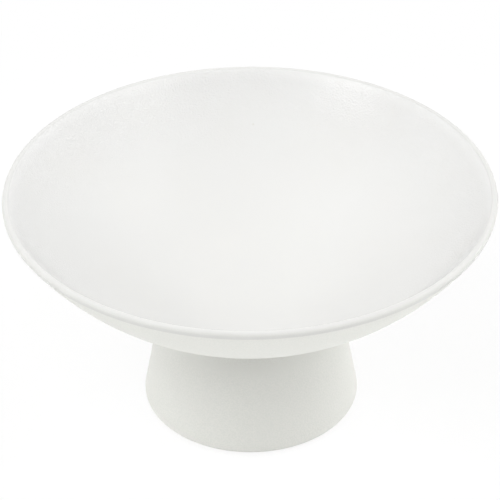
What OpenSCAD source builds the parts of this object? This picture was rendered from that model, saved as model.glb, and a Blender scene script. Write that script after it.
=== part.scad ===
// Footed compote bowl in matt-glazed stoneware.
// A spherical dish sits on a hollow cone-shaped foot. The two are cast apart
// and stuck together with slip, and felt dots keep the bare foot ring off the table.
// Lengths are in millimetres and angles in degrees. The axis of the bowl is Z,
// and the table is at Z = 0.

/* [Overall] */
// Height from the table to the top of the rim
overall_h = 130; // [118:1:150]

/* [Dish] */
// Diameter across the outside of the rim
rim_d = 250; // [220:1:300]
// Thickness of the wall at the full-round lip
lip_t = 4.2; // [3:0.1:6]
// Depth of the dish inside, from the top of the rim to the middle of its floor
dish_depth = 65; // [52:1:74]
// Thickness of the floor at the middle of the dish
floor_t = 6.7; // [6:0.1:9]

/* [Foot] */
// Diameter of the foot's cone at its bottom face
foot_d = 116; // [104:1:140]
// Lean of the foot's side from upright
foot_lean = 10.9; // [6:0.1:14]
// Wall of the foot at the top of its cone
foot_wall = 6; // [4.5:0.1:8]
// Width of the foot ring, from the hollow to the outside
ring_w = 12; // [11:0.5:16]
// Radius of the neck where the foot flows into the dish
neck_r = 3; // [2:0.25:6]
// Rounding of the foot's outer bottom edge
outer_edge_r = 1.5; // [0.8:0.1:2]
// Rounding of the foot's inner bottom edge
inner_edge_r = 1; // [0.5:0.1:1.5]

/* [Slip joint] */
// Thickness of the slip bed between the foot's top face and the dish
slip_t = 0.8; // [0.4:0.1:1.2]
// Gap round the spigot that the slip fills
slip_gap = 0.75; // [0.4:0.05:1.2]

/* [Felt pads] */
// Number of felt dots under the foot ring
pad_count = 4; // [3:1:6]
// Diameter of a felt dot
pad_d = 8; // [6:0.5:9]
// Thickness of a felt dot
pad_t = 1.2; // [0.8:0.1:2]
// Bevel that wear puts on a felt dot's lower edge
pad_bevel = 0.25; // [0.1:0.05:0.4]

/* [Hidden] */
$fn = 192;
// Largest turn between neighbouring points of a small rounding
arc_step = 12;
// How far a cut runs past the solid it cuts
overrun = 1;
// How far the lip stands past the walls that run into it, so that each ends on it in a clean edge
lip_step = 0.002;

GLAZE_COLOUR = "#f1f1ee";
SLIP_COLOUR = "#e6e2d9";
FELT_COLOUR = "#cbc6bb";

// Profiles lie in the plane of the radius, x, and the height, y. Angles there run
// from the way out, through the way up.

// Lip: a full round that blends the outside of the dish into the inside
lip_r = lip_t / 2;
lip_centre = [rim_d / 2 - lip_r, overall_h - lip_r];
wall_r = lip_r - lip_step;

// The outside of the dish is the sphere through its lowest point that holds the lip's circle
under_z = overall_h - dish_depth - floor_t;
out_rise = lip_centre.y - under_z;
out_r = (lip_centre.x ^ 2 + out_rise ^ 2 - wall_r ^ 2) / (2 * (out_rise - wall_r));
out_centre = [0, under_z + out_r];

// The inside is the sphere through the middle of the floor that the lip's circle touches
floor_z = overall_h - dish_depth;
in_rise = lip_centre.y - floor_z;
in_r = (lip_centre.x ^ 2 + in_rise ^ 2 - wall_r ^ 2) / (2 * (in_rise + wall_r));
in_centre = [0, floor_z + in_r];

// The lip's round runs from the outside, past its widest and highest points, to the inside
lip_stops = [heading(lip_centre - out_centre), 0, 90, heading(in_centre - lip_centre)];

// Side of the foot: where it starts, its way up and its way out
foot_corner = [foot_d / 2, pad_t];
side_up = direction(90 + foot_lean);
side_out = direction(foot_lean);

// Neck: an arc that is tangent to the side of the foot and to the outside of the dish
neck_start = foot_corner + neck_r * side_out - out_centre;
neck_reach = -neck_start * side_up;
neck_climb = neck_reach - sqrt(neck_reach ^ 2 - neck_start * neck_start + (out_r + neck_r) ^ 2);
neck_low = foot_corner + neck_climb * side_up;
neck_centre = neck_low + neck_r * side_out;
neck_top_angle = heading(out_centre - neck_centre);

// Joint: the dish lands on the slip at seat_z, and the foot ends below the slip at joint_z
seat_z = neck_centre.y + neck_r * sin(neck_top_angle);
joint_z = seat_z - slip_t;
neck_joint_angle = 180 - asin((joint_z - neck_centre.y) / neck_r);
bore_r = neck_low.x - foot_wall;
spigot_r = bore_r - slip_gap;
spigot_z = out_centre.y - sqrt(out_r ^ 2 - spigot_r ^ 2);
register_z = spigot_z - slip_gap;

// Hollow of the foot, which widens from the register down to the foot ring
hollow_corner = [foot_d / 2 - ring_w, pad_t];
hollow_lean = heading([bore_r, register_z] - hollow_corner) - 90;

// Foot ring: each rounded edge takes up some of the flat face between the two
outer_edge_centre = foot_corner + outer_edge_r * [-tan(45 + foot_lean / 2), 1];
inner_edge_centre = hollow_corner + inner_edge_r * [tan(45 - hollow_lean / 2), 1];
pad_ring_r = (outer_edge_centre.x + inner_edge_centre.x) / 2;

// The angle that a vector points at
function heading(v) = atan2(v.y, v.x);

// A vector of length one that points at an angle
function direction(angle) = [cos(angle), sin(angle)];

// Points of an arc that turns from the first angle of stops to the last and has a point at each
function arc(centre, radius, stops) = [
    for (k = [1:len(stops) - 1])
        let (turn = stops[k] - stops[k - 1], steps = ceil(abs(turn) / arc_step))
            for (i = [k == 1 ? 0 : 1:steps])
                centre + radius * direction(stops[k - 1] + turn * i / steps)
];

// Wall of the dish between its two spheres, with the lip at its top
module dish_profile() {
    intersection() {
        difference() {
            translate(out_centre)
                circle(out_r);
            translate(in_centre)
                circle(in_r);
        }
        polygon(concat(
            [[0, under_z - overrun], [rim_d / 2, under_z - overrun]],
            arc(lip_centre, lip_r, lip_stops),
            [[0, overall_h]]
        ));
    }
}

// What is turned off the underside of the dish, to leave the landing round the spigot
module landing_waste() {
    polygon([
        [spigot_r, under_z - overrun],
        [rim_d / 2, under_z - overrun],
        [rim_d / 2, seat_z],
        [spigot_r, seat_z]
    ]);
}

// Dish with its lip, and underneath the landing and the spigot that meet the slip
module bowl() {
    color(GLAZE_COLOUR)
        rotate_extrude()
            difference() {
                dish_profile();
                landing_waste();
            }
}

// Hollow foot with its neck, open underneath
module pedestal_foot() {
    color(GLAZE_COLOUR)
        rotate_extrude()
            polygon(concat(
                arc(inner_edge_centre, inner_edge_r, [180 + hollow_lean, 270]),
                arc(outer_edge_centre, outer_edge_r, [270, 360 + foot_lean]),
                arc(neck_centre, neck_r, [180 + foot_lean, neck_joint_angle]),
                [[bore_r, joint_z], [bore_r, register_z]]
            ));
}

// Slip bed on the foot's top face, with the collar that fills the gap round the spigot
module slip_joint() {
    color(SLIP_COLOUR)
        rotate_extrude()
            polygon(concat(
                [[spigot_r, spigot_z], [bore_r, spigot_z], [bore_r, joint_z]],
                arc(neck_centre, neck_r, [neck_joint_angle, neck_top_angle]),
                [[spigot_r, seat_z]]
            ));
}

// One felt dot on the middle of the foot ring
module foot_pad(i) {
    color(FELT_COLOUR)
        rotate((i - 0.5) * 360 / pad_count)
            translate([pad_ring_r, 0])
                rotate_extrude()
                    polygon([
                        [0, 0],
                        [pad_d / 2 - pad_bevel, 0],
                        [pad_d / 2, pad_bevel],
                        [pad_d / 2, pad_t],
                        [0, pad_t]
                    ]);
}

bowl();
pedestal_foot();
slip_joint();
for (i = [1:pad_count]) foot_pad(i);
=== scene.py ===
"""Looks of a footed compote bowl in matt-glazed stoneware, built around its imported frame.

Lengths are in metres. Z is the axis of the bowl, and the table is at Z = 0.
"""

import logging
import math
from dataclasses import dataclass
from enum import Enum
from typing import Any

import bpy
from mathutils import Euler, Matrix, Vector


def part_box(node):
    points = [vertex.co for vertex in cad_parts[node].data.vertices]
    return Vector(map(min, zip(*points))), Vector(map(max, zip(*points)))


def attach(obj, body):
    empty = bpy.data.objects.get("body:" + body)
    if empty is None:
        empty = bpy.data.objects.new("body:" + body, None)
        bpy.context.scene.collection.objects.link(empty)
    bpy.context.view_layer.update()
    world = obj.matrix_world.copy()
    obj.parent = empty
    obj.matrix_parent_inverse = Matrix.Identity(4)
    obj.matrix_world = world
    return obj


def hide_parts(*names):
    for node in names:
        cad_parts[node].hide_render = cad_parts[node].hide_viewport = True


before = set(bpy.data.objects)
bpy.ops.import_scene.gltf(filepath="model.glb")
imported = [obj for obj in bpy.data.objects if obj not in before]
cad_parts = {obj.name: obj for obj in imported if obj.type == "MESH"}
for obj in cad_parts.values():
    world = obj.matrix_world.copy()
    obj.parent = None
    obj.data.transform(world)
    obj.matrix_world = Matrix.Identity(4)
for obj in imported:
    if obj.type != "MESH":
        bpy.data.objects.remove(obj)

LOG = logging.getLogger("compote_bowl")
MM = 0.001
BODY = "root"
UP = math.pi / 2
DOWN = -math.pi / 2

# Numbers of a Mix node's sockets for colours, whose names its other sockets share
MIX_BELOW = 6
MIX_ABOVE = 7
MIXED = 2

Piece = bpy.types.Object
Material = bpy.types.Material
Tree = bpy.types.NodeTree
Socket = bpy.types.NodeSocket


# Turning


def on_plane(radius: float, height: float) -> Vector:
    """Returns a point of a turned outline, as its radius and its height."""
    return Vector((radius, height))


@dataclass(frozen=True)
class Circle:
    """A circle in the plane of the outline.

    Angles run from the way out, through the way up.

    Attributes:
        centre: Its middle, as radius and height.
        radius: Its radius.
    """

    centre: Vector
    radius: float

    def heading(self, point: Vector) -> float:
        """Returns the angle at which a point is seen from the middle."""
        return math.atan2(point.y - self.centre.y, point.x - self.centre.x)

    def at(self, angle: float) -> Vector:
        """Returns the point of the circle at an angle."""
        return self.centre + self.radius * Vector((math.cos(angle), math.sin(angle)))


class Template:
    """Half the outline of a turned piece, drawn by moving a point and then spun about the axis.

    Attributes:
        SEGMENTS: Faces round the axis.
        CHORD: Longest step along a wide arc.
        ARC_STEP: Largest turn in a step along a tight arc.
        MERGE: Distance within which points become one.
        SHARP: Angle between faces past which their edge stays sharp.
    """

    SEGMENTS = 240
    CHORD = 2.2 * MM
    ARC_STEP = math.radians(8)
    MERGE = 0.001 * MM
    SHARP = math.radians(30)

    def __init__(self, name: str, start: Vector) -> None:
        """Puts the first point of the outline down.

        Args:
            name: Name of the piece.
            start: First point.
        """
        bpy.ops.object.select_all(action="DESELECT")
        # The mesh starts as a small triangle, whose corners merge into the first point
        bpy.ops.mesh.primitive_circle_add(vertices=3, radius=MM)
        self.piece = bpy.context.object
        self.piece.name = self.piece.data.name = name
        self.tip = start
        bpy.ops.object.mode_set(mode="EDIT")
        bpy.ops.mesh.select_all(action="SELECT")
        bpy.ops.mesh.merge(type="CENTER")
        bpy.ops.transform.translate(value=(start.x, 0, start.y))

    def line(self, end: Vector) -> None:
        """Draws a straight stretch.

        Args:
            end: Where it ends.
        """
        step = end - self.tip
        bpy.ops.mesh.extrude_vertices_move(TRANSFORM_OT_translate={"value": (step.x, 0, step.y)})
        self.tip = end

    def arc(self, circle: Circle, end: float) -> None:
        """Draws an arc from the point that the outline has reached, the short way round.

        Args:
            circle: Circle that the outline is on.
            end: Angle at which the arc ends.
        """
        turn = math.remainder(end - circle.heading(self.tip), math.tau)
        steps = math.ceil(abs(turn) * max(1 / self.ARC_STEP, circle.radius / self.CHORD))
        middle = (circle.centre.x, 0, circle.centre.y)
        bpy.ops.mesh.spin(steps=steps, angle=turn, center=middle, axis=(0, 1, 0))
        self.tip = circle.at(end)

    def turn(self) -> Piece:
        """Spins the outline once round, closes the seam and the poles and smooths the faces.

        Returns:
            The finished piece.
        """
        bpy.ops.mesh.select_all(action="SELECT")
        bpy.ops.mesh.spin(steps=self.SEGMENTS, angle=math.tau, center=(0, 0, 0), axis=(0, 0, 1))
        bpy.ops.mesh.select_all(action="SELECT")
        bpy.ops.mesh.remove_doubles(threshold=self.MERGE)
        bpy.ops.mesh.normals_make_consistent(inside=False)
        bpy.ops.object.mode_set(mode="OBJECT")
        bpy.ops.object.shade_smooth_by_angle(angle=self.SHARP)
        return self.piece


# Finishes


def linear(hex_colour: str) -> tuple[float, float, float, float]:
    """Turns a colour into what the shaders take, by the curve that sRGB defines.

    Args:
        hex_colour: sRGB colour, such as "#f1f0ec".

    Returns:
        Linear red, green, blue and alpha.
    """
    parts = (int(hex_colour[i : i + 2], 16) / 255 for i in (1, 3, 5))
    return *(p / 12.92 if p <= 0.04045 else ((p + 0.055) / 1.055) ** 2.4 for p in parts), 1.0


def add_node(
    tree: Tree, kind: str, inputs: dict[Any, Any], output: Any = 0, **settings: Any
) -> Socket:
    """Adds a node with its settings and links.

    Args:
        tree: Nodes of a material or of the world.
        kind: Type of the node.
        inputs: Value of each input, or the output linked to it, by the input's name or number.
        output: Name or number of the output that is wanted.
        settings: Properties of the node.

    Returns:
        The wanted output of the new node, or its first input where it has no output.
    """
    node = tree.nodes.new(kind)
    for name, setting in settings.items():
        setattr(node, name, setting)
    for key, value in inputs.items():
        if isinstance(value, Socket):
            tree.links.new(value, node.inputs[key])
        else:
            node.inputs[key].default_value = value
    return node.outputs[output] if node.outputs else node.inputs[0]


def new_material(name: str) -> tuple[Material, Tree]:
    """Makes a material with no nodes.

    Args:
        name: Common name of the real material.

    Returns:
        The material and its nodes.
    """
    material = bpy.data.materials.new(name)
    material.use_nodes = True
    material.node_tree.nodes.clear()
    return material, material.node_tree


@dataclass(frozen=True)
class CoatLook:
    """How one coat of glaze came out of the kiln.

    Attributes:
        white: Its colour.
        roughness: Roughness of the fired surface.
        grain: Width of a grain of its relief, drawn as coarse as it needs to be to show.
        relief: Height of that relief, from its pits to its peaks.
    """

    white: str
    roughness: float
    grain: float
    relief: float


class Coat(Enum):
    """The two coats of the glaze: poured inside the dish, sprayed everywhere else."""

    POURED_SATIN = CoatLook("#e6e6e5", roughness=0.16, grain=0.9 * MM, relief=0.19 * MM)
    SPRAYED_MATT = CoatLook("#e5e5e0", roughness=0.66, grain=0.8 * MM, relief=0.09 * MM)


@dataclass(frozen=True)
class StonewareGlaze:
    """White zircon glaze on stoneware.

    Fired, it is a soft white that is a little warm. The poured coat is satin: it has an orange-peel
    skin that glints on the wall of the dish and is smooth on its floor, where the glaze lies
    thicker; the floor is also painted darker, as painted shade. Just inside the lip a lighter band
    is painted light. The crown of the lip and a line round its widest part are painted darker: the
    crown partly as a thinner glaze and partly as painted shade, the line as painted shade. The
    sprayed coat outside is matt and sandy, and painted darker round the neck, as painted shade
    under the dish. A pair of sizes or levels says where something starts to show and where it
    shows in full.

    Attributes:
        inside: Circle of the dish's inner wall.
        rim: Radius and height of the rim.
        neck_z: Height of the neck, round which the glaze is painted darker, as painted shade.
        matt_depths: Depths behind the inner wall at which the satin turns matt.
        sand_depths: Depths behind the inner wall at which the sprayed coat begins.
        grain_detail: Amount of finer grain in the coats.
        pit_levels: Heights of the sprayed coat's grain at which its pits show.
        sandy: Colour of the pits.
        painted_floor_shade: Colour painted on the floor of the dish, as painted shade.
        floor_shade_fade: Height above the floor at which that colour is gone.
        pool_roughness: Roughness of the glaze on the floor.
        skin_heights: Heights above the floor at which the skin of the wall shows.
        roll: Lighter colour just inside the lip, as painted light.
        rim_light_reach: Distances in from the rim at which that painted light starts and shows in
            full.
        thin_glaze_and_shade: Darker colour of the lip's crown and of a line round its widest part:
            on the crown partly a thinner glaze and partly painted shade, on the line painted shade.
        shade_line_width: Width of the painted shade line round the widest part of the lip.
        thin_shaded_lip: Depths below the rim at which the crown's darker colour starts and shows in
            full.
        thin_shaded_crown: Distances in from the rim at which the crown's darker colour starts and
            shows in full.
        thin_shaded_share: Share of the darker colour on the crown.
        lean: Darker colour round the neck, as painted shade under the dish.
        neck_shade_reach: Distances above and below the neck at which the painted shade starts and
            shows in full.
        cloud: Width of a cloud in the white.
        cloud_detail: Amount of finer clouds.
        cloud_levels: Levels of the clouds' noise at which they show.
        cloud_share: Largest share of their colour.
        cloudy: Colour of the clouds.
        speck: Place of the one iron speck that burnt through.
        speck_reach: Radius within which the speck shows.
        speck_core: Radius within which it shows in full.
        iron: Colour of the speck.
        ior: Refractive index of the glaze.
    """

    inside: Circle
    rim: Vector
    neck_z: float
    matt_depths: tuple[float, float] = (0.1 * MM, 1 * MM)
    sand_depths: tuple[float, float] = (1.5 * MM, 3.5 * MM)
    grain_detail: float = 0.5
    pit_levels: tuple[float, float] = (0.65, 0.35)
    sandy: str = "#e0e1dc"
    # Painted shade: the floor of the dish is coloured darker
    painted_floor_shade: str = "#dadad8"
    floor_shade_fade: float = 65 * MM
    pool_roughness: float = 0.26
    skin_heights: tuple[float, float] = (18 * MM, 52 * MM)
    # Painted light: the inner wall just below the lip is coloured lighter
    roll: str = "#eaeae9"
    rim_light_reach: tuple[float, float] = (7.5 * MM, 4 * MM)
    # Painted shade: the lip's crown and a line round its widest part are coloured darker, on the
    # crown partly as a thinner glaze
    thin_glaze_and_shade: str = "#d4d4d1"
    shade_line_width: float = 0.6 * MM
    thin_shaded_lip: tuple[float, float] = (3 * MM, 1 * MM)
    thin_shaded_crown: tuple[float, float] = (3.8 * MM, 3 * MM)
    thin_shaded_share: float = 0.62
    # Painted shade: the glaze round the neck, under the dish, is coloured darker
    lean: str = "#dcdcd7"
    neck_shade_reach: tuple[float, float] = (25 * MM, 9 * MM)
    cloud: float = 34 * MM
    cloud_detail: float = 3.0
    cloud_levels: tuple[float, float] = (0.4, 0.7)
    cloud_share: float = 0.25
    cloudy: str = "#dfdedb"
    speck: tuple[float, float, float] = (2.18 * MM, 101.23 * MM, 105.59 * MM)
    speck_reach: float = 0.9 * MM
    speck_core: float = 0.35 * MM
    iron: str = "#dbdad6"
    ior: float = 1.5

    def material(self) -> Material:
        """Builds the glaze.

        Returns:
            The material.
        """
        poured, sprayed = Coat.POURED_SATIN.value, Coat.SPRAYED_MATT.value
        material, tree = new_material("zircon_white_stoneware_glaze")
        place = add_node(tree, "ShaderNodeTexCoord", {}, "Object")
        outside = self.outside_share(tree, place, self.matt_depths)
        sanded = self.outside_share(tree, place, self.sand_depths)
        wall = self.wall_share(tree, place)
        roughness = self.pool_roughness
        for share, fired in ((wall, poured.roughness), (outside, sprayed.roughness)):
            blend = {"Value": share, "To Min": roughness, "To Max": fired}
            roughness = add_node(tree, "ShaderNodeMapRange", blend)
        sand = self.grains(tree, place, sprayed)
        shader = add_node(
            tree,
            "ShaderNodeBsdfPrincipled",
            {
                "Base Color": self.colour(tree, place, sanded, sand),
                "Roughness": roughness,
                "IOR": self.ior,
                "Normal": self.skin(tree, place, wall, outside, sanded, sand),
            },
        )
        add_node(tree, "ShaderNodeOutputMaterial", {"Surface": shader})
        return material

    def floor_z(self) -> float:
        """Returns the height of the middle of the dish's floor."""
        return self.inside.centre.y - self.inside.radius

    def outside_share(self, tree: Tree, place: Socket, depths: tuple[float, float]) -> Socket:
        """Tells the outside from the inside by the distance to the middle of the inner sphere.

        Args:
            tree: Nodes of the material.
            place: Object coordinates.
            depths: Depths behind the inner wall at which the outside starts and is whole.

        Returns:
            A share that goes from 0 on the inner wall to 1 on the lip and outside.
        """
        middle = (0, 0, self.inside.centre.y)
        reach = add_node(
            tree, "ShaderNodeVectorMath", {0: place, 1: middle}, "Value", operation="DISTANCE"
        )
        start, whole = (self.inside.radius + depth for depth in depths)
        band = {"Value": reach, "From Min": start, "From Max": whole}
        return add_node(tree, "ShaderNodeMapRange", band, interpolation_type="SMOOTHSTEP")

    def wall_share(self, tree: Tree, place: Socket) -> Socket:
        """Tells the wall of the dish from its floor, where the glaze lies thicker, by the height.

        Args:
            tree: Nodes of the material.
            place: Object coordinates.

        Returns:
            A share that goes from 0 on the floor to 1 on the upper wall.
        """
        height = add_node(tree, "ShaderNodeSeparateXYZ", {"Vector": place}, "Z")
        start, whole = (self.floor_z() + rise for rise in self.skin_heights)
        band = {"Value": height, "From Min": start, "From Max": whole}
        return add_node(tree, "ShaderNodeMapRange", band, interpolation_type="SMOOTHSTEP")

    def grains(self, tree: Tree, place: Socket, coat: CoatLook) -> Socket:
        """Draws the grains of a coat.

        Args:
            tree: Nodes of the material.
            place: Object coordinates.
            coat: The coat.

        Returns:
            Their height, from 0 to 1.
        """
        grain = {"Vector": place, "Scale": 1 / coat.grain, "Detail": self.grain_detail}
        return add_node(tree, "ShaderNodeTexNoise", grain)

    def skin(
        self, tree: Tree, place: Socket, wall: Socket, outside: Socket, sanded: Socket, sand: Socket
    ) -> Socket:
        """Raises the relief of both coats.

        Args:
            tree: Nodes of the material.
            place: Object coordinates.
            wall: Share of the dish's wall.
            outside: Share of the matt lip and outside.
            sanded: Share of the sprayed coat.
            sand: Grains of the sprayed coat.

        Returns:
            The normal.
        """
        poured, sprayed = Coat.POURED_SATIN.value, Coat.SPRAYED_MATT.value
        inside = add_node(tree, "ShaderNodeMath", {0: 1.0, 1: outside}, operation="SUBTRACT")
        leathery = add_node(tree, "ShaderNodeMath", {0: inside, 1: wall}, operation="MULTIPLY")
        peel = self.grains(tree, place, poured)
        relief = {"Strength": leathery, "Distance": poured.relief, "Height": peel}
        peeled = add_node(tree, "ShaderNodeBump", relief)
        relief = {"Strength": sanded, "Distance": sprayed.relief, "Height": sand, "Normal": peeled}
        return add_node(tree, "ShaderNodeBump", relief)

    def colour(self, tree: Tree, place: Socket, sanded: Socket, sand: Socket) -> Socket:
        """Colours the glaze: the poured white, with each tint laid over what is below it.

        Args:
            tree: Nodes of the material.
            place: Object coordinates.
            sanded: Share of the sprayed coat.
            sand: Grains of the sprayed coat.

        Returns:
            The colour.
        """
        shows = self.tint_shares(tree, place, sand)
        for name, one, other in (
            ("sandy", shows["pits"], sanded),
            # Painted shade round the neck, on the sprayed coat
            ("lean", shows["neck"], sanded),
            # The lip's crown: partly a thinner glaze, partly painted shade
            ("crown", shows["crown"], shows["lip"]),
        ):
            shows[name] = add_node(tree, "ShaderNodeMath", {0: one, 1: other}, operation="MULTIPLY")
        # The darker crown and the painted shade line round the lip
        thin_and_shaded = add_node(
            tree, "ShaderNodeMath", {0: shows["edge"], 1: shows["crown"]}, operation="MAXIMUM"
        )
        colour = linear(Coat.POURED_SATIN.value.white)
        for share, tint in (
            # Painted shade on the floor of the dish
            (shows["floor_shade"], self.painted_floor_shade),
            # Painted light just inside the lip
            (shows["roll"], self.roll),
            (sanded, Coat.SPRAYED_MATT.value.white),
            # Painted shade round the neck
            (shows["lean"], self.lean),
            (shows["clouds"], self.cloudy),
            (shows["sandy"], self.sandy),
            # Painted shade on the lip, partly a thinner glaze on its crown
            (thin_and_shaded, self.thin_glaze_and_shade),
            (shows["speck"], self.iron),
        ):
            layer = {"Factor": share, MIX_BELOW: colour, MIX_ABOVE: linear(tint)}
            colour = add_node(tree, "ShaderNodeMix", layer, MIXED, data_type="RGBA")
        return colour

    def tint_shares(self, tree: Tree, place: Socket, sand: Socket) -> dict[str, Socket]:
        """Works out how much each tint shows at a place of the glaze.

        Args:
            tree: Nodes of the material.
            place: Object coordinates.
            sand: Grains of the sprayed coat.

        Returns:
            The shares, by what they are of.
        """
        height = add_node(tree, "ShaderNodeSeparateXYZ", {"Vector": place}, "Z")
        level = add_node(
            tree, "ShaderNodeVectorMath", {0: place, 1: (1, 1, 0)}, operation="MULTIPLY"
        )
        radius = add_node(tree, "ShaderNodeVectorMath", {0: level}, "Value", operation="LENGTH")
        above = add_node(tree, "ShaderNodeMath", {0: height, 1: self.neck_z}, operation="SUBTRACT")
        from_neck = add_node(tree, "ShaderNodeMath", {0: above}, operation="ABSOLUTE")
        from_speck = add_node(
            tree, "ShaderNodeVectorMath", {0: place, 1: self.speck}, "Value", operation="DISTANCE"
        )
        drift = {"Vector": place, "Scale": 1 / self.cloud, "Detail": self.cloud_detail}
        clouds = add_node(tree, "ShaderNodeTexNoise", drift)
        floor_z = self.floor_z()
        # The lip's darker crown: partly a thinner glaze, partly painted shade
        lip = [self.rim.y - depth for depth in self.thin_shaded_lip]
        crown = [self.rim.x - distance for distance in self.thin_shaded_crown]
        # Painted light just inside the lip
        roll = [self.rim.x - distance for distance in self.rim_light_reach]
        return {
            name: add_node(
                tree,
                "ShaderNodeMapRange",
                {"Value": measure, "From Min": start, "From Max": whole, "To Max": most},
                interpolation_type=rise,
            )
            for name, measure, start, whole, most, rise in (
                # Painted shade on the floor of the dish, fading out up the wall
                ("floor_shade", height, floor_z + self.floor_shade_fade, floor_z, 1.0, "LINEAR"),
                ("clouds", clouds, *self.cloud_levels, self.cloud_share, "LINEAR"),
                ("pits", sand, *self.pit_levels, 1.0, "LINEAR"),
                # Painted light just inside the lip
                ("roll", radius, *roll, 1.0, "SMOOTHSTEP"),
                # Painted shade line round the widest part of the lip, and the darker crown, partly
                # a thinner glaze
                ("edge", radius, self.rim.x - self.shade_line_width, self.rim.x, 1.0, "SMOOTHSTEP"),
                ("lip", height, *lip, self.thin_shaded_share, "SMOOTHSTEP"),
                ("crown", radius, *crown, 1.0, "SMOOTHSTEP"),
                # Painted shade round the neck, under the dish
                ("neck", from_neck, *self.neck_shade_reach, 1.0, "SMOOTHSTEP"),
                ("speck", from_speck, self.speck_reach, self.speck_core, 1.0, "SMOOTHSTEP"),
            )
        }


@dataclass(frozen=True)
class BareStoneware:
    """Fired stoneware with no glaze.

    It is a pale cream, dry and grainy like fine sandpaper. A mist of glaze reached into the hollow
    of the foot from below, and the ring itself was wiped clean. The real grains are a few tenths of
    a millimetre wide, and here they are coarser, so that they show.

    Attributes:
        ring_z: Height of the foot ring.
        wiped_z: Height up to which the ring was wiped.
        clay: Colour of the clay.
        grog: Colour of the ground, fired clay that is mixed in.
        grog_levels: Levels of the grain at which grog starts to show and shows in full.
        grain: Width of a grain.
        grain_detail: Amount of finer grain.
        grain_bite: Strength of the finer grain.
        relief: Height of the grain.
        roughness: Roughness of the clay.
        mist: Colour of the mist of glaze.
        mist_reach: Height above the ring that the mist reached.
        mist_levels: Levels that droplets have to pass, at the ring and where the mist ends.
        droplet: Width of a droplet.
        droplet_detail: Amount of finer droplets.
        droplet_bite: Strength of the finer droplets.
        droplet_edge: Rise in level over which a droplet's edge fades in.
    """

    ring_z: float
    wiped_z: float
    clay: str = "#e2dacb"
    grog: str = "#d3c8b5"
    grog_levels: tuple[float, float] = (0.45, 0.7)
    grain: float = 0.9 * MM
    grain_detail: float = 4.0
    grain_bite: float = 0.65
    relief: float = 0.06 * MM
    roughness: float = 0.9
    mist: str = "#e6e6e1"
    mist_reach: float = 22 * MM
    mist_levels: tuple[float, float] = (0.45, 0.8)
    droplet: float = 1.6 * MM
    droplet_detail: float = 3.0
    droplet_bite: float = 0.6
    droplet_edge: float = 0.12

    def material(self) -> Material:
        """Builds the bare clay.

        Returns:
            The material.
        """
        material, tree = new_material("unglazed_stoneware")
        place = add_node(tree, "ShaderNodeTexCoord", {}, "Object")
        finer = {"Detail": self.grain_detail, "Roughness": self.grain_bite}
        grain = {"Vector": place, "Scale": 1 / self.grain, **finer}
        grains = add_node(tree, "ShaderNodeTexNoise", grain)
        start, whole = self.grog_levels
        levels = {"Value": grains, "From Min": start, "From Max": whole}
        speckle = add_node(tree, "ShaderNodeMapRange", levels)
        colour = linear(self.clay)
        for share, tint in ((speckle, self.grog), (self.mist_share(tree, place), self.mist)):
            layer = {"Factor": share, MIX_BELOW: colour, MIX_ABOVE: linear(tint)}
            colour = add_node(tree, "ShaderNodeMix", layer, MIXED, data_type="RGBA")
        relief = add_node(tree, "ShaderNodeBump", {"Distance": self.relief, "Height": grains})
        surface = {"Base Color": colour, "Roughness": self.roughness, "Normal": relief}
        shader = add_node(tree, "ShaderNodeBsdfPrincipled", surface)
        add_node(tree, "ShaderNodeOutputMaterial", {"Surface": shader})
        return material

    def mist_share(self, tree: Tree, place: Socket) -> Socket:
        """Settles droplets of glaze above the wiped ring, fewer higher up.

        Args:
            tree: Nodes of the material.
            place: Object coordinates.

        Returns:
            The share of glaze.
        """
        height = add_node(tree, "ShaderNodeSeparateXYZ", {"Vector": place}, "Z")
        band = {"From Min": self.wiped_z, "From Max": self.ring_z + self.mist_reach}
        many, few = self.mist_levels
        levels = {"Value": height, **band, "To Min": many, "To Max": few}
        sparse = add_node(tree, "ShaderNodeMapRange", levels)
        finer = {"Detail": self.droplet_detail, "Roughness": self.droplet_bite}
        droplet = {"Vector": place, "Scale": 1 / self.droplet, **finer}
        droplets = add_node(tree, "ShaderNodeTexNoise", droplet)
        over = add_node(tree, "ShaderNodeMath", {0: droplets, 1: sparse}, operation="SUBTRACT")
        mist = add_node(tree, "ShaderNodeMapRange", {"Value": over, "From Max": self.droplet_edge})
        unwiped = add_node(
            tree, "ShaderNodeMath", {0: height, 1: self.wiped_z}, operation="GREATER_THAN"
        )
        return add_node(tree, "ShaderNodeMath", {0: mist, 1: unwiped}, operation="MULTIPLY")


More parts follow.
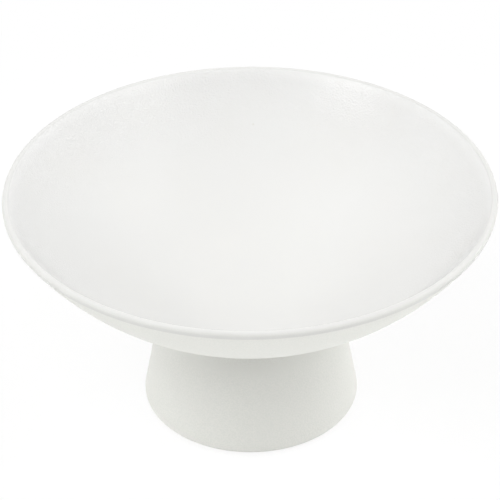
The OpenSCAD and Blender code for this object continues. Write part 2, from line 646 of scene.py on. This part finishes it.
@dataclass(frozen=True)
class PressedFelt:
    """Die-cut dots of pressed wool felt.

    They are a greyish cream, with fibres that lie every way and a soft bloom at the edge. The real
    fibres are a few hundredths of a millimetre thick, and here they are coarser, so that they show.

    Attributes:
        wool: Colour of the fibres on top.
        dark_fibre: Colour of the fibres below them.
        fibre_width: Width of a fibre.
        fibre_length: Length over which a fibre shows.
        fibre_turns: Ways in which the layers of fibres lie, in degrees.
        fibre_detail: Amount of finer fibres.
        fibre_levels: Levels of the fibres at which those below end and those on top begin.
        relief: Height of the fibres.
        roughness: Roughness of the felt.
        bloom: Strength of the bloom.
    """

    wool: str = "#cbc6bb"
    dark_fibre: str = "#aea798"
    fibre_width: float = 0.16 * MM
    fibre_length: float = 2.4 * MM
    fibre_turns: tuple[float, ...] = (20, 80, 145)
    fibre_detail: float = 2.0
    fibre_levels: tuple[float, float] = (0.5, 0.75)
    relief: float = 0.08 * MM
    roughness: float = 1.0
    bloom: float = 0.35

    def material(self) -> Material:
        """Builds the felt.

        Returns:
            The material.
        """
        material, tree = new_material("pressed_wool_felt")
        place = add_node(tree, "ShaderNodeTexCoord", {}, "Object")
        top = self.fibres(tree, place)
        below, above = self.fibre_levels
        levels = {"Value": top, "From Min": below, "From Max": above}
        depth = add_node(tree, "ShaderNodeMapRange", levels)
        dark, light = linear(self.dark_fibre), linear(self.wool)
        layers = {"Factor": depth, MIX_BELOW: dark, MIX_ABOVE: light}
        colour = add_node(tree, "ShaderNodeMix", layers, MIXED, data_type="RGBA")
        relief = add_node(tree, "ShaderNodeBump", {"Distance": self.relief, "Height": depth})
        nap = {"Roughness": self.roughness, "Sheen Weight": self.bloom}
        surface = {"Base Color": colour, "Normal": relief, **nap}
        shader = add_node(tree, "ShaderNodeBsdfPrincipled", surface)
        add_node(tree, "ShaderNodeOutputMaterial", {"Surface": shader})
        return material

    def fibres(self, tree: Tree, place: Socket) -> Socket:
        """Lays layers of fibres over each other, each turned another way.

        Args:
            tree: Nodes of the material.
            place: Object coordinates.

        Returns:
            Level of the fibre that lies on top, from 0 to 1.
        """
        stretch = (1 / self.fibre_length, 1 / self.fibre_width, 1 / self.fibre_width)
        layers: list[Socket] = []
        for degrees in self.fibre_turns:
            turn = (0, 0, math.radians(degrees))
            lie = {"Vector": place, "Rotation": turn, "Scale": stretch}
            along = add_node(tree, "ShaderNodeMapping", lie)
            fibre = {"Vector": along, "Scale": 1.0, "Detail": self.fibre_detail}
            layers.append(add_node(tree, "ShaderNodeTexNoise", fibre))
        top = layers[0]
        for layer in layers[1:]:
            top = add_node(tree, "ShaderNodeMath", {0: top, 1: layer}, operation="MAXIMUM")
        return top


@dataclass(frozen=True)
class Finishes:
    """The materials of the bowl.

    Attributes:
        glaze: Glaze of the dish, the neck and the foot.
        bare: Clay with no glaze, in the hollow and under the ring.
        felt: Felt of the dots.
    """

    glaze: Material
    bare: Material
    felt: Material


# Pieces


def fit(piece: Piece, slot: str, node: str, *materials: Material) -> Piece:
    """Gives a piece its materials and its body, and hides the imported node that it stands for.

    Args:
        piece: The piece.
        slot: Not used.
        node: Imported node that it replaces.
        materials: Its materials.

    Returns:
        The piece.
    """
    for material in materials:
        piece.data.materials.append(material)
    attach(piece, BODY)
    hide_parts(node)
    return piece


@dataclass
class Dish:
    """The dish: a wall between two spheres, with a full-round lip and a landing for the foot.

    Attributes:
        lip_t: Thickness of the wall at the lip.
        depth: Depth of the dish inside, at its middle.
    """

    lip_t: float = 4.2 * MM
    depth: float = 65 * MM

    def __post_init__(self) -> None:
        """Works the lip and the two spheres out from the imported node's box."""
        low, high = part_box("bowl")
        self.rim = on_plane(high.x, high.z)
        lip_r = self.lip_t / 2
        self.lip = Circle(on_plane(high.x - lip_r, high.z - lip_r), lip_r)
        square = self.lip.centre.x**2 - lip_r**2
        rise = self.lip.centre.y - low.z
        out_r = (square + rise**2) / (2 * (rise - lip_r))
        self.outside = Circle(on_plane(0, low.z + out_r), out_r)
        floor_z = high.z - self.depth
        rise = self.lip.centre.y - floor_z
        in_r = (square + rise**2) / (2 * (rise + lip_r))
        self.inside = Circle(on_plane(0, floor_z + in_r), in_r)

    def build(self, joint: "SlipJoint") -> Piece:
        """Turns the dish, from the middle of its floor over the lip to the middle underneath.

        Args:
            joint: Slip that the landing and the spigot sit in.

        Returns:
            The dish.
        """
        template = Template("dish", self.inside.at(DOWN))
        template.arc(self.inside, self.inside.heading(self.lip.centre))
        template.arc(self.lip, UP)
        template.arc(self.lip, self.outside.heading(self.lip.centre))
        template.arc(self.outside, self.outside.heading(joint.neck_top))
        template.line(on_plane(joint.spigot_r, joint.seat_z))
        template.line(on_plane(joint.spigot_r, joint.spigot_z))
        template.arc(self.outside, DOWN)
        return template.turn()

    def make(self, joint: "SlipJoint", finishes: Finishes) -> Piece:
        """Builds the dish and glazes it, all but the underside inside the foot.

        Args:
            joint: Slip that the landing and the spigot sit in.
            finishes: Materials of the bowl.

        Returns:
            The dish.
        """
        piece = fit(self.build(joint), "glaze", "bowl", finishes.glaze, finishes.bare)
        for face in piece.data.polygons:
            in_foot = math.hypot(face.center.x, face.center.y) < joint.spigot_r
            face.material_index = int(in_foot and face.normal.z < 0)
        return piece


@dataclass
class SlipJoint:
    """The joining slip: a bed under the dish's landing, and a collar round its spigot.

    Attributes:
        dish: The dish that it carries.
        gap: Gap round the spigot that the slip fills.
        neck_r: Radius of the neck where the foot flows into the dish.
        foot_wall: Wall of the foot at the top of its cone.
        foot_lean: Lean of the foot's side from upright.
    """

    dish: Dish
    gap: float = 0.75 * MM
    neck_r: float = 3 * MM
    foot_wall: float = 6 * MM
    foot_lean: float = math.radians(10.9)

    def __post_init__(self) -> None:
        """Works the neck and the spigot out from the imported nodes' boxes."""
        low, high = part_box("slip_joint")
        self.seat_z = high.z
        self.spigot_z = low.z
        self.joint_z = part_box("pedestal_foot")[1].z
        self.neck_top = on_plane(high.x, high.z)
        away = (self.neck_top - self.dish.outside.centre).normalized()
        self.neck = Circle(self.neck_top + self.neck_r * away, self.neck_r)
        self.neck_low = self.neck.at(math.pi + self.foot_lean)
        self.bore_r = self.neck_low.x - self.foot_wall
        self.spigot_r = self.bore_r - self.gap
        self.joint_angle = math.pi - math.asin((self.joint_z - self.neck.centre.y) / self.neck_r)

    def build(self) -> Piece:
        """Turns the bed and the collar.

        Returns:
            The slip.
        """
        template = Template("slip_seam", on_plane(self.spigot_r, self.spigot_z))
        template.line(on_plane(self.bore_r, self.spigot_z))
        template.line(on_plane(self.bore_r, self.joint_z))
        template.line(self.neck.at(self.joint_angle))
        template.arc(self.neck, self.neck.heading(self.neck_top))
        template.line(on_plane(self.spigot_r, self.seat_z))
        template.line(on_plane(self.spigot_r, self.spigot_z))
        return template.turn()

    def make(self, finishes: Finishes) -> Piece:
        """Builds the slip, glazed on the neck and bare where it squeezed out into the hollow.

        Args:
            finishes: Materials of the bowl.

        Returns:
            The slip.
        """
        piece = fit(self.build(), "slip", "slip_joint", finishes.glaze, finishes.bare)
        for face in piece.data.polygons:
            radius = math.hypot(face.center.x, face.center.y)
            face.material_index = int(radius < self.neck_low.x - self.gap)
        return piece


@dataclass
class PedestalFoot:
    """The hollow, tapering foot with its rounded ring.

    Attributes:
        joint: Slip on its top face.
        ring_w: Width of the foot ring.
        outer_edge_r: Rounding of the outer bottom edge.
        inner_edge_r: Rounding of the inner bottom edge.
        wiped: Height above the ring up to which glaze was wiped off.
    """

    joint: SlipJoint
    ring_w: float = 12 * MM
    outer_edge_r: float = 1.5 * MM
    inner_edge_r: float = 1 * MM
    wiped: float = 0.3 * MM

    def __post_init__(self) -> None:
        """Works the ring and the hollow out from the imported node's box."""
        joint, lean = self.joint, self.joint.foot_lean
        self.ring_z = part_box("pedestal_foot")[0].z
        self.wiped_z = self.ring_z + self.wiped
        corner = joint.neck_low.x + (joint.neck_low.y - self.ring_z) * math.tan(lean)
        hollow = on_plane(corner - self.ring_w, self.ring_z)
        self.register = on_plane(joint.bore_r, joint.spigot_z - joint.gap)
        self.hollow_lean = math.atan2(hollow.x - self.register.x, self.register.y - hollow.y)
        outer_x = corner - self.outer_edge_r * math.tan((UP + lean) / 2)
        inner_x = hollow.x + self.inner_edge_r * math.tan((UP - self.hollow_lean) / 2)
        outer_z, inner_z = self.ring_z + self.outer_edge_r, self.ring_z + self.inner_edge_r
        self.outer_edge = Circle(on_plane(outer_x, outer_z), self.outer_edge_r)
        self.inner_edge = Circle(on_plane(inner_x, inner_z), self.inner_edge_r)

    def build(self) -> Piece:
        """Turns the foot, down its outside, under the ring and up the hollow.

        Returns:
            The foot.
        """
        joint = self.joint
        top = on_plane(joint.bore_r, joint.joint_z)
        template = Template("pedestal_foot_turned", top)
        template.line(joint.neck.at(joint.joint_angle))
        template.arc(joint.neck, math.pi + joint.foot_lean)
        template.line(self.outer_edge.at(joint.foot_lean))
        template.arc(self.outer_edge, DOWN)
        template.line(self.inner_edge.at(DOWN))
        template.arc(self.inner_edge, math.pi + self.hollow_lean)
        template.line(self.register)
        template.line(top)
        return template.turn()

    def make(self, finishes: Finishes) -> Piece:
        """Builds the foot and glazes its outside, with the hollow and the wiped ring left bare.

        Args:
            finishes: Materials of the bowl.

        Returns:
            The foot.
        """
        piece = fit(self.build(), "glaze", "pedestal_foot", finishes.glaze, finishes.bare)
        for face in piece.data.polygons:
            inward = face.normal.x * face.center.x + face.normal.y * face.center.y < 0
            face.material_index = int(inward or face.center.z < self.wiped_z)
        return piece


@dataclass
class FeltDots:
    """Felt dots under the foot ring, die-cut, with a soft lower edge that wear rounded.

    Attributes:
        nodes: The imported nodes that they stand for.
        wear: How far the lower edge is rounded.
        fuzz: Depth of the unevenness of the felt.
        tuft: Width of one tuft of it.
        SIDES: Faces round a dot.
        WEAR_STEPS: Faces across the rounded edge.
        CAP_RINGS: Rings on an end face.
        SIDE_CUTS: Cuts in an upright edge.
        FLAT: Upright part of a face's normal past which it is an end face.
        SHARP: Angle between faces past which their edge stays sharp.
    """

    nodes: tuple[str, ...]
    wear: float = 0.35 * MM
    fuzz: float = 0.10 * MM
    tuft: float = 0.5 * MM

    SIDES = 72
    WEAR_STEPS = 4
    CAP_RINGS = 9
    SIDE_CUTS = 3
    FLAT = 0.5
    SHARP = math.radians(40)

    def build(self) -> list[Piece]:
        """Models the first dot and copies it round the bowl's axis to the other places.

        Returns:
            The dots, in the order of the nodes.
        """
        low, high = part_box(self.nodes[0])
        middle = (low + high) / 2
        radius = (high.x - low.x) / 2
        bpy.ops.object.select_all(action="DESELECT")
        bpy.ops.mesh.primitive_cylinder_add(
            vertices=self.SIDES, radius=radius, depth=high.z - low.z, location=middle
        )
        first = bpy.context.object
        bpy.ops.object.transform_apply(location=True)
        self.cut_sides(first)
        self.round_lower_edge(first, low.z)
        self.ring_caps(first, radius)
        self.roughen(first)
        dots = [first]
        start = math.atan2(middle.y, middle.x)
        for node in self.nodes[1:]:
            low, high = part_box(node)
            centre = (low + high) / 2
            dots.append(self.copy(first, math.atan2(centre.y, centre.x) - start))
        for number, dot in enumerate(dots, start=1):
            dot.name = dot.data.name = f"felt_dot_{number}"
        return dots

    def cut_sides(self, dot: Piece) -> None:
        """Cuts the upright edges, so that the side can be uneven.

        Args:
            dot: The dot.
        """
        for edge in dot.data.edges:
            ends = [dot.data.vertices[v].co.z for v in edge.vertices]
            edge.select = ends[0] != ends[1]
        self.edit(dot, "EDGE")
        bpy.ops.mesh.subdivide(number_cuts=self.SIDE_CUTS)
        bpy.ops.object.mode_set(mode="OBJECT")

    def round_lower_edge(self, dot: Piece, low_z: float) -> None:
        """Rounds the edge that the bowl stands on.

        Args:
            dot: The dot.
            low_z: Height of its lower face.
        """
        for edge in dot.data.edges:
            ends = [dot.data.vertices[v].co.z for v in edge.vertices]
            edge.select = all(math.isclose(z, low_z, abs_tol=Template.MERGE) for z in ends)
        self.edit(dot, "EDGE")
        bpy.ops.mesh.bevel(offset=self.wear, segments=self.WEAR_STEPS)
        bpy.ops.object.mode_set(mode="OBJECT")

    def ring_caps(self, dot: Piece, radius: float) -> None:
        """Draws rings on both end faces and closes their middles, so that they can be uneven.

        Args:
            dot: The dot.
            radius: Its radius.
        """
        for face in dot.data.polygons:
            face.select = abs(face.normal.z) > self.FLAT and len(face.vertices) == self.SIDES
        self.edit(dot, "FACE")
        step = (radius - self.wear) / (self.CAP_RINGS + 1)
        for _ in range(self.CAP_RINGS):
            bpy.ops.mesh.inset(thickness=step)
        bpy.ops.mesh.poke()
        bpy.ops.object.mode_set(mode="OBJECT")

    def edit(self, dot: Piece, mode: str) -> None:
        """Opens a dot for editing with what was selected in one mode.

        Args:
            dot: The dot.
            mode: EDGE or FACE.
        """
        chosen = dot.data.edges if mode == "EDGE" else dot.data.polygons
        wanted = [item.select for item in chosen]
        bpy.ops.object.mode_set(mode="EDIT")
        bpy.ops.mesh.select_mode(type=mode)
        bpy.ops.mesh.select_all(action="DESELECT")
        bpy.ops.object.mode_set(mode="OBJECT")
        for item, keep in zip(chosen, wanted):
            item.select = keep
        bpy.ops.object.mode_set(mode="EDIT")

    def roughen(self, dot: Piece) -> None:
        """Presses the surface in unevenly, as the tufts of felt lie.

        Args:
            dot: The dot.
        """
        tufts = bpy.data.textures.new("felt_tufts", "CLOUDS")
        tufts.noise_scale = self.tuft
        uneven = dot.modifiers.new("tufts", "DISPLACE")
        uneven.texture = tufts
        uneven.texture_coords = "LOCAL"
        uneven.mid_level = 0
        uneven.strength = -self.fuzz
        bpy.ops.object.modifier_apply(modifier=uneven.name)
        bpy.ops.object.shade_smooth_by_angle(angle=self.SHARP)

    def copy(self, first: Piece, turn: float) -> Piece:
        """Copies the first dot and turns the copy about the bowl's axis.

        Args:
            first: The first dot.
            turn: Angle of the turn.

        Returns:
            The copy.
        """
        bpy.ops.object.select_all(action="DESELECT")
        first.select_set(True)
        bpy.context.view_layer.objects.active = first
        bpy.ops.object.duplicate(linked=False)
        dot = bpy.context.object
        dot.rotation_euler = (0, 0, turn)
        bpy.ops.object.transform_apply(location=False, rotation=True, scale=False)
        return dot

    def make(self, finishes: Finishes) -> list[Piece]:
        """Builds the dots and dresses them in felt.

        Args:
            finishes: Materials of the bowl.

        Returns:
            The dots.
        """
        dots = self.build()
        for node, dot in zip(self.nodes, dots):
            fit(dot, "felt", node, finishes.felt)
        return dots


# Studio


def seen_directly(tree: Tree) -> Socket:
    """Tells what the camera sees, also in a gloss or through glass, from what only gives light.

    Args:
        tree: Nodes of the table or of the room.

    Returns:
        1 for what is seen, 0 for the rest.
    """
    seen = add_node(tree, "ShaderNodeLightPath", {}, "Is Camera Ray")
    for way in ("Is Glossy Ray", "Is Transmission Ray"):
        ray = add_node(tree, "ShaderNodeLightPath", {}, way)
        seen = add_node(tree, "ShaderNodeMath", {0: seen, 1: ray}, operation="MAXIMUM")
    return seen


class Facing(Enum):
    """What a softbox lights, as the spread of its light: the bowl, or the table through a grid."""

    BOWL = math.radians(180)
    TABLE = math.radians(60)


@dataclass(frozen=True)
class Softbox:
    """A softbox of the studio.

    Attributes:
        name: Where it stands.
        azimuth: Degrees from the camera's side towards the right.
        elevation: Degrees above the table.
        brightness: Brightness of its bare front, as a share of paper white under plain light.
        width: Width of its front.
        height: Height of its front.
        distance: Distance of its front from the bowl.
        facing: What it lights.
        mirrored: Whether the glaze mirrors it. The others hang behind scrim, and only give light.
    """

    name: str
    azimuth: float
    elevation: float
    brightness: float
    width: float = 2.4
    height: float = 2.4
    distance: float = 2.4
    facing: Facing = Facing.BOWL
    mirrored: bool = False

    def place(self, aim: Vector) -> None:
        """Sets the softbox up.

        Args:
            aim: Point of the bowl that its place is measured from.
        """
        turn, rise = math.radians(self.azimuth), math.radians(self.elevation)
        level = math.cos(rise)
        way = Vector((math.sin(turn) * level, -math.cos(turn) * level, math.sin(rise)))
        bpy.ops.object.light_add(type="AREA", location=aim + self.distance * way)
        lamp = bpy.context.object
        lamp.name = lamp.data.name = f"softbox_{self.name}"
        if self.facing is Facing.BOWL:
            lamp.rotation_euler = way.to_track_quat("Z", "Y").to_euler()
        else:
            lamp.rotation_euler = (0, 0, turn)
        lamp.visible_camera = False
        lamp.visible_glossy = self.mirrored
        lamp.data.spread = self.facing.value
        lamp.data.shape = "RECTANGLE"
        lamp.data.size, lamp.data.size_y = self.width, self.height
        # A flat lamp as bright as paper white gives pi watts a square metre
        lamp.data.energy = math.pi * self.width * self.height * self.brightness


@dataclass
class Studio:
    """A white table in a white room, with softboxes round it.

    The two strips at the left and right make the highlights in the dish. The broad ones give the
    plain light, and two close above the table light it beside the bowl.

    Attributes:
        aim: Point that the camera and the softboxes face.
        camera_distance: Distance of the camera from that point.
        camera_elevation: Elevation of the camera.
        camera_roll: Roll of the camera.
        lens: Focal length of its lens, in millimetres.
        sensor: Width of its sensor, in millimetres.
        room_light: Brightness of the room's walls as a light.
        table_side: Side of the table.
        table_white: Colour of the table's paper.
        table_glare: Share of plain white in what the camera sees of the table beside the bowl.
        shadow_reach: Distances from the axis at which that share starts to rise and is whole.
        softboxes: The softboxes.
    """

    aim: tuple[float, float, float] = (-0.118 * MM, 0.0, 89.964 * MM)
    camera_distance: float = 941.1 * MM
    camera_elevation: float = math.radians(34.615)
    camera_roll: float = math.radians(-0.414)
    lens: float = 130.6
    sensor: float = 36.0
    room_light: float = 0.08
    table_side: float = 8.0
    table_white: str = "#fdfdfd"
    table_glare: float = 0.86
    shadow_reach: tuple[float, float] = (0.16, 0.45)
    softboxes: tuple[Softbox, ...] = (
        Softbox("left", -53, 35.5, brightness=8.8, width=1.1, height=0.26, mirrored=True),
        Softbox("right", 58, 35.5, brightness=4.9, width=1.1, height=0.26, mirrored=True),
        Softbox("front", -25, 54, brightness=4.4, height=0.7),
        Softbox("side_right", 95, 54, brightness=3.5, height=0.7),
        Softbox("side_left", -105, 50, brightness=1.6),
        Softbox("low_left", -105, 20, brightness=0.5),
        Softbox("low_right", 105, 20, brightness=1.86),
        Softbox(
            "table_left", -50, 25, brightness=1.1,
            width=0.9, height=0.5, distance=0.95, facing=Facing.TABLE,
        ),
        Softbox(
            "table_right", 50, 25, brightness=2.1,
            width=0.9, height=0.5, distance=0.95, facing=Facing.TABLE,
        ),
    )

    def build(self) -> None:
        """Sets up the table, the softboxes, the room and the camera."""
        self.table()
        for softbox in self.softboxes:
            softbox.place(Vector(self.aim))
        self.room()
        self.camera()
        bpy.context.scene.view_settings.view_transform = "Standard"

    def table(self) -> None:
        """Lays the table top with white paper, which keeps a soft shadow of the bowl."""
        bpy.ops.object.select_all(action="DESELECT")
        bpy.ops.mesh.primitive_plane_add(size=self.table_side)
        table = bpy.context.object
        table.name = "table_top"
        material, tree = new_material("white_studio_paper")
        material.cycles.emission_sampling = "NONE"
        paper = add_node(tree, "ShaderNodeBsdfDiffuse", {"Color": linear(self.table_white)})
        white = add_node(tree, "ShaderNodeEmission", {"Strength": 1.0})
        place = add_node(tree, "ShaderNodeTexCoord", {}, "Object")
        reach = add_node(tree, "ShaderNodeVectorMath", {0: place}, "Value", operation="LENGTH")
        start, whole = self.shadow_reach
        fade = {"Value": reach, "From Min": start, "From Max": whole, "To Min": self.table_glare}
        glare = add_node(tree, "ShaderNodeMapRange", fade, interpolation_type="SMOOTHSTEP")
        seen = seen_directly(tree)
        share = add_node(tree, "ShaderNodeMath", {0: seen, 1: glare}, operation="MULTIPLY")
        top = add_node(tree, "ShaderNodeMixShader", {0: share, 1: paper, 2: white})
        add_node(tree, "ShaderNodeOutputMaterial", {"Surface": top})
        table.data.materials.append(material)

    def room(self) -> None:
        """Lights the room evenly, and shows its walls white."""
        world = bpy.data.worlds.new("white_room")
        bpy.context.scene.world = world
        world.use_nodes = True
        tree = world.node_tree
        tree.nodes.clear()
        levels = {"Value": seen_directly(tree), "To Min": self.room_light, "To Max": 1.0}
        level = add_node(tree, "ShaderNodeMapRange", levels)
        walls = add_node(tree, "ShaderNodeBackground", {"Color": (1, 1, 1, 1), "Strength": level})
        add_node(tree, "ShaderNodeOutputWorld", {"Surface": walls})

    def camera(self) -> None:
        """Puts the camera at the photograph's place."""
        rise = self.camera_elevation
        way = Vector((0, -math.cos(rise), math.sin(rise)))
        bpy.ops.object.camera_add(location=Vector(self.aim) + self.camera_distance * way)
        camera = bpy.context.object
        tilt = Euler((UP - rise, 0, 0)).to_matrix()
        roll = Euler((0, 0, self.camera_roll)).to_matrix()
        camera.rotation_euler = (tilt @ roll).to_euler()
        camera.data.sensor_width = self.sensor
        camera.data.lens = self.lens
        bpy.context.scene.camera = camera


def main() -> None:
    """Builds the bowl piece by piece, then the studio round it."""
    logging.basicConfig(level=logging.INFO, format="%(name)s: %(message)s")
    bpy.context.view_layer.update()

    dish = Dish()
    joint = SlipJoint(dish)
    foot = PedestalFoot(joint)
    dots = FeltDots(tuple(sorted(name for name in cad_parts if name.startswith("foot_pad_"))))
    finishes = Finishes(
        glaze=StonewareGlaze(dish.inside, dish.rim, joint.seat_z).material(),
        bare=BareStoneware(foot.ring_z, foot.wiped_z).material(),
        felt=PressedFelt().material(),
    )
    pieces = [dish.make(joint, finishes), joint.make(finishes), foot.make(finishes)]
    pieces += dots.make(finishes)
    for piece in pieces:
        LOG.info("%s: %d faces", piece.name, len(piece.data.polygons))

    Studio().build()


if __name__ == "__main__":
    main()
